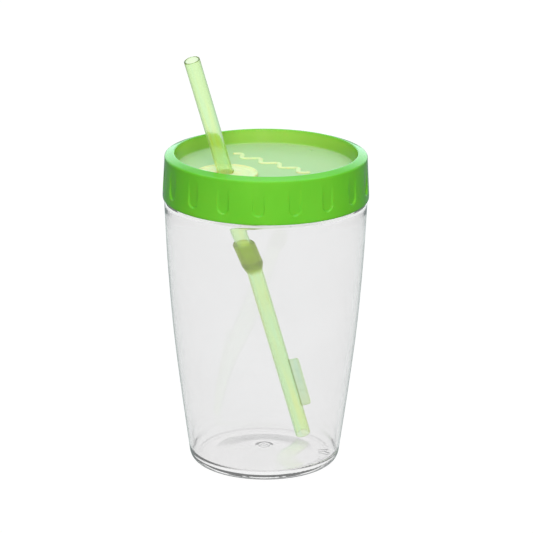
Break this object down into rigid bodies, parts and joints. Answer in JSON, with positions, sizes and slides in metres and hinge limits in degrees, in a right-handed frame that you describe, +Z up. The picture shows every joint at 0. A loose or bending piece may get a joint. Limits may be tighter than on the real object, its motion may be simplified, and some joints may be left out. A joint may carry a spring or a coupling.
{
  "type": "screw-lid tumbler with straw",
  "caption": "Clear single-wall drinking tumbler with a green screw lid, sealing ring, soft straw grommet and a leaning two-piece straw.",
  "frame": {"origin": "on the cup's axis, at the underside of its foot ring", "axes": "+Z up along the cup's axis, +X to the right and +Y to the back as the tumbler faces the viewer"},
  "size_m": [0.092, 0.092, 0.1929],
  "materials": {
    "cup_clear": "polished clear copolyester plastic, colourless",
    "lid_green": "glossy moulded polypropylene, leaf green",
    "gasket_silicone": "satin translucent silicone",
    "grommet_silicone": "satin soft pale green-cream silicone",
    "straw_pale_green": "translucent pale green extruded and moulded plastic"
  },
  "bodies": {
    "cup": {"cup": "cup_clear"},
    "seal": {"lid_gasket": "gasket_silicone"},
    "cap": {"lid": "lid_green", "straw_grommet": "grommet_silicone"},
    "straw_lower": {"lower_straw": "straw_pale_green"},
    "straw_upper": {"upper_straw": "straw_pale_green"}
  },
  "joints": [
    {"name": "lid_rise", "type": "slide", "parent": "cup", "child": "seal", "axis": [0, 0, 1], "range_m": [0, 0.004]},
    {"name": "lid_turn", "type": "hinge", "parent": "seal", "child": "cap", "pos_m": [0, 0, 0.128], "axis": [0, 0, 1], "range_deg": [0, 120]},
    {"name": "straw_slide", "type": "slide", "parent": "cap", "child": "straw_lower", "axis": [-0.2509, -0.2348, 0.9391], "range_m": [0, 0.02]},
    {"name": "upper_straw_pull", "type": "slide", "parent": "straw_lower", "child": "straw_upper", "axis": [-0.2509, -0.2348, 0.9391], "range_m": [0, 0.0145]}
  ],
  "couplings": [
    {"joint": "lid_turn", "follows": "lid_rise", "rad_per_m": 523.6}
  ]
}
